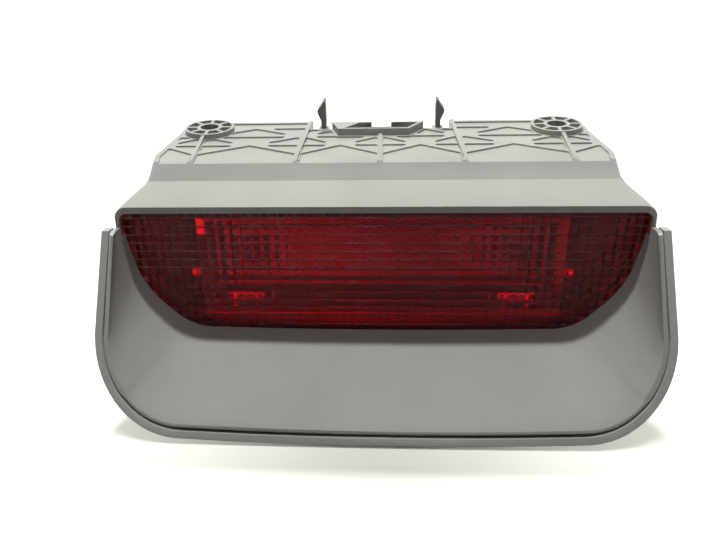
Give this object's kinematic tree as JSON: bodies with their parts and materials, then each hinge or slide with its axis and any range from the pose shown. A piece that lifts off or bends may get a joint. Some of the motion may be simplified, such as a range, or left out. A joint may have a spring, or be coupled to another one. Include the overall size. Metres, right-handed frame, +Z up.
{
  "type": "third brake light",
  "caption": "High-mounted brake lamp for the inside of a tailgate, with a ribbed mounting flange, a wide red lens, a scoop that meets the rear window and a bulb lamp body inside its cover.",
  "frame": {"origin": "midway between the two mounting holes, on the collars' top faces", "axes": "+X to the right as seen from behind the car, +Y into the car and away from the lens, +Z up out of the mounting flange"},
  "size_m": [0.233, 0.1246, 0.1093],
  "materials": {
    "housing_plastic": "grained",
    "cover_plastic": "grained",
    "shroud_plastic": "grained",
    "red_lens": "pillowed inside, smooth outside",
    "lamp_plastic": "satin",
    "mirror_coat": "metallised",
    "holder_plastic": "satin",
    "bulb_glass": "clear",
    "filament_wire": "dull",
    "brass_strip": "stamped",
    "header_plastic": "satin",
    "hook_plastic": "satin",
    "screw_steel": "zinc plated"
  },
  "bodies": {
    "root": {"upper_housing": "housing_plastic", "outer_cover": "cover_plastic", "shroud": "shroud_plastic", "lens": "red_lens", "lamp_body": "lamp_plastic", "reflector": "mirror_coat", "bus_bar_live": "brass_strip", "bus_bar_ground": "brass_strip", "connector_header": "header_plastic", "body_screws": "screw_steel", "shroud_screws": "screw_steel", "cover_screws": "screw_steel"},
    "hook_left": {"snap_hook_left": "hook_plastic"},
    "hook_right": {"snap_hook_right": "hook_plastic"},
    "holder_left": {"bulb_holder_left": "holder_plastic", "bulb_left": "bulb_glass", "filament_left": "filament_wire", "contacts_left": "brass_strip"},
    "holder_right": {"bulb_holder_right": "holder_plastic", "bulb_right": "bulb_glass", "filament_right": "filament_wire", "contacts_right": "brass_strip"}
  },
  "joints": [
    {"name": "snap_hook_left_flex", "type": "hinge", "parent": "root", "child": "hook_left", "pos_m": [-0.0265, 0.006, -0.0022], "axis": [0, 1, 0], "range_deg": [0, 12], "stiffness_Nm_per_rad": 1},
    {"name": "snap_hook_right_flex", "type": "hinge", "parent": "root", "child": "hook_right", "pos_m": [0.0265, 0.006, -0.0022], "axis": [0, -1, 0], "range_deg": [0, 12], "stiffness_Nm_per_rad": 1},
    {"name": "bulb_holder_left_turn", "type": "hinge", "parent": "root", "child": "holder_left", "pos_m": [-0.0558, -0.034, -0.0421], "axis": [0, 1, 0], "range_deg": [0, 45]},
    {"name": "bulb_holder_right_turn", "type": "hinge", "parent": "root", "child": "holder_right", "pos_m": [0.0558, -0.034, -0.0421], "axis": [0, 1, 0], "range_deg": [0, 45]}
  ]
}
